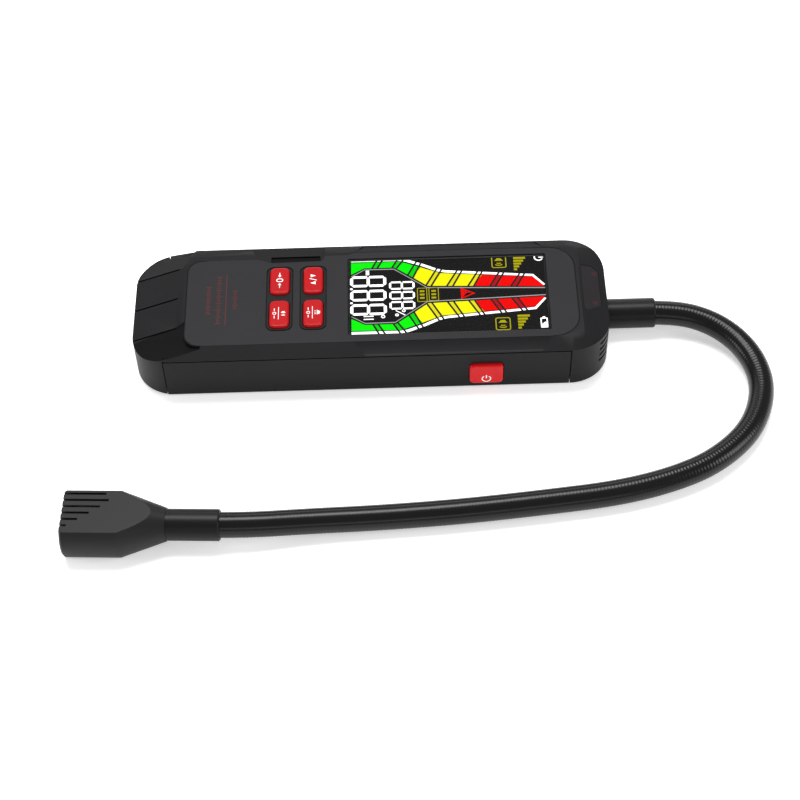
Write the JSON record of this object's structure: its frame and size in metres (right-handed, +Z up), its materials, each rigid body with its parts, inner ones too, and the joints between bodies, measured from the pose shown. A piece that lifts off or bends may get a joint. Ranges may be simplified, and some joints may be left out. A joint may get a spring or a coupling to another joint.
{
  "type": "gas leak detector",
  "caption": "Hand-held gas leak detector with a sunk display, push keys, an alarm light and a slotted sensor head on a gooseneck, lying on its back.",
  "frame": {"origin": "middle of the body's underside, on the surface that it lies on", "axes": "+X along the body to the end that carries the gooseneck, +Y to the body's side away from the power key and the sensor head, +Z up out of the display"},
  "size_m": [0.2498, 0.1255, 0.0222],
  "materials": {
    "body_plastic": "fine matt grain",
    "panel_plastic": "satin",
    "display_clear": "clear",
    "display_black": "gloss",
    "foam": "matt",
    "inner_plastic": "satin",
    "key_red": "gloss",
    "circuit_board": "satin",
    "battery_foil": "satin",
    "steel": "satin",
    "lens_red": "gloss",
    "lamp_red": "gloss",
    "sleeve_rubber": "satin",
    "neck_skin": "gloss"
  },
  "bodies": {
    "detector": {"front_cover": "body_plastic", "rear_cover": "body_plastic", "face_panel": "panel_plastic", "display_window": "display_clear", "display_gasket": "foam", "display_glass": "display_black", "display_frame": "inner_plastic", "main_board": "circuit_board", "key_switches": "inner_plastic", "side_switch": "inner_plastic", "buzzer": "inner_plastic", "battery_pad": "foam", "battery_cell": "battery_foil", "charge_socket": "steel", "alarm_lens": "lens_red", "alarm_board": "circuit_board", "alarm_leds": "lamp_red", "climate_sensor": "circuit_board", "housing_screws": "steel", "board_screws": "steel", "body_fitting": "steel", "neck_nut": "steel", "body_sleeve": "sleeve_rubber", "gooseneck": "neck_skin", "head_fitting": "steel", "head_sleeve": "sleeve_rubber", "head_upper_shell": "body_plastic", "head_lower_shell": "body_plastic", "head_screws": "steel", "sensor_board": "circuit_board", "gas_sensor": "steel"},
    "key_zero_body": {"key_zero": "key_red"},
    "key_sound_body": {"key_sound": "key_red"},
    "key_level_body": {"key_level": "key_red"},
    "key_light_body": {"key_light": "key_red"},
    "power_key_body": {"power_key": "key_red"}
  },
  "joints": [
    {"name": "key_zero_press", "type": "slide", "parent": "detector", "child": "key_zero_body", "axis": [0, 0, -1], "range_m": [0, 0.0008], "stiffness_N_per_m": 1500, "springref_m": -0.0005},
    {"name": "key_sound_press", "type": "slide", "parent": "detector", "child": "key_sound_body", "axis": [0, 0, -1], "range_m": [0, 0.0008], "stiffness_N_per_m": 1500, "springref_m": -0.0005},
    {"name": "key_level_press", "type": "slide", "parent": "detector", "child": "key_level_body", "axis": [0, 0, -1], "range_m": [0, 0.0008], "stiffness_N_per_m": 1500, "springref_m": -0.0005},
    {"name": "key_light_press", "type": "slide", "parent": "detector", "child": "key_light_body", "axis": [0, 0, -1], "range_m": [0, 0.0008], "stiffness_N_per_m": 1500, "springref_m": -0.0005},
    {"name": "power_key_press", "type": "slide", "parent": "detector", "child": "power_key_body", "axis": [0, 1, 0], "range_m": [0, 0.0008], "stiffness_N_per_m": 1500, "springref_m": -0.0005}
  ]
}
